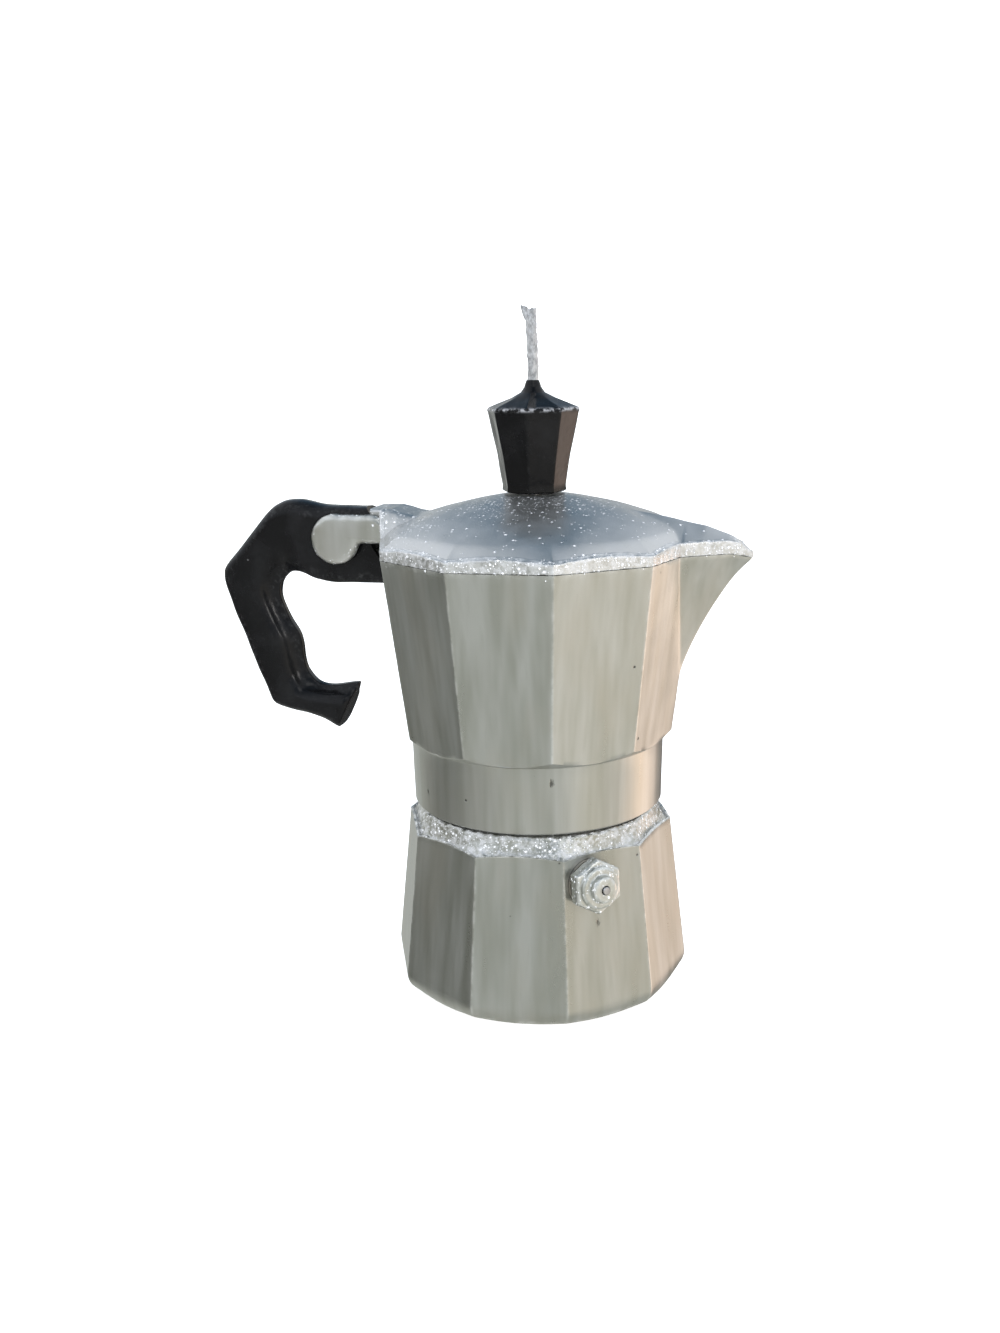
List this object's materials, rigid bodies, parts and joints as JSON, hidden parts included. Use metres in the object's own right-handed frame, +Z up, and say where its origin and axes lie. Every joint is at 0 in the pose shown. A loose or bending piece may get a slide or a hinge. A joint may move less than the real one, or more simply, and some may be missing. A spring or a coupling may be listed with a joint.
{
  "type": "moka pot",
  "caption": "Ten-sided stovetop coffee pot with a screw-on collector, hinged lid, corner spout, black side handle and knob, and a side safety valve.",
  "frame": {"origin": "centre of the boiler's flat underside, where the pot stands", "axes": "+Z up along the pot's axis, +X towards the spout; the handle is at -X"},
  "size_m": [0.1164, 0.0648, 0.1434],
  "materials": {
    "cast_aluminium": "satin, faint upright streaks and small pits",
    "sheet_aluminium": "smooth rolled sheet",
    "bright_metal": "satin, worn bright at the edges",
    "black_plastic": "glossy, slightly uneven",
    "brass": "turned",
    "steel": "plain",
    "copper": "flat pressed ring",
    "rubber_seal": "matt",
    "silvered_cord": "stiffened twisted cotton with a silver coat"
  },
  "bodies": {
    "boiler": {"boiler": "cast_aluminium", "valve_body": "bright_metal", "valve_washer": "copper", "valve_spring": "steel", "valve_retainer": "brass"},
    "valve_stem": {"valve_stem": "brass"},
    "funnel": {"funnel": "sheet_aluminium", "funnel_sieve": "sheet_aluminium"},
    "seal": {"gasket": "rubber_seal", "filter_plate": "sheet_aluminium"},
    "collector": {"collector": "cast_aluminium", "handle": "black_plastic", "handle_screw": "steel", "hinge_pin": "steel"},
    "lid": {"lid": "cast_aluminium", "knob": "black_plastic", "knob_insert": "brass", "knob_screw": "steel", "knob_washer": "steel", "wick": "silvered_cord"}
  },
  "joints": [
    {"name": "valve_stem_slide", "type": "slide", "parent": "boiler", "child": "valve_stem", "axis": [0.64, -0.7611, 0.1061], "range_m": [0, 0.001], "stiffness_N_per_m": 400},
    {"name": "funnel_lift", "type": "slide", "parent": "boiler", "child": "funnel", "axis": [0, 0, 1], "range_m": [0, 0.055]},
    {"name": "collector_rise", "type": "slide", "parent": "funnel", "child": "seal", "axis": [0, 0, 1], "range_m": [0, 0.0051]},
    {"name": "collector_turn", "type": "hinge", "parent": "seal", "child": "collector", "pos_m": [0, 0, 0.06], "axis": [0, 0, 1], "range_deg": [0, 720]},
    {"name": "lid_hinge", "type": "hinge", "parent": "collector", "child": "lid", "pos_m": [-0.0423, 0, 0.0962], "axis": [0, -1, 0], "range_deg": [0, 92]}
  ],
  "couplings": [
    {"joint": "collector_rise", "follows": "collector_turn", "m_per_rad": 0.00039789}
  ]
}
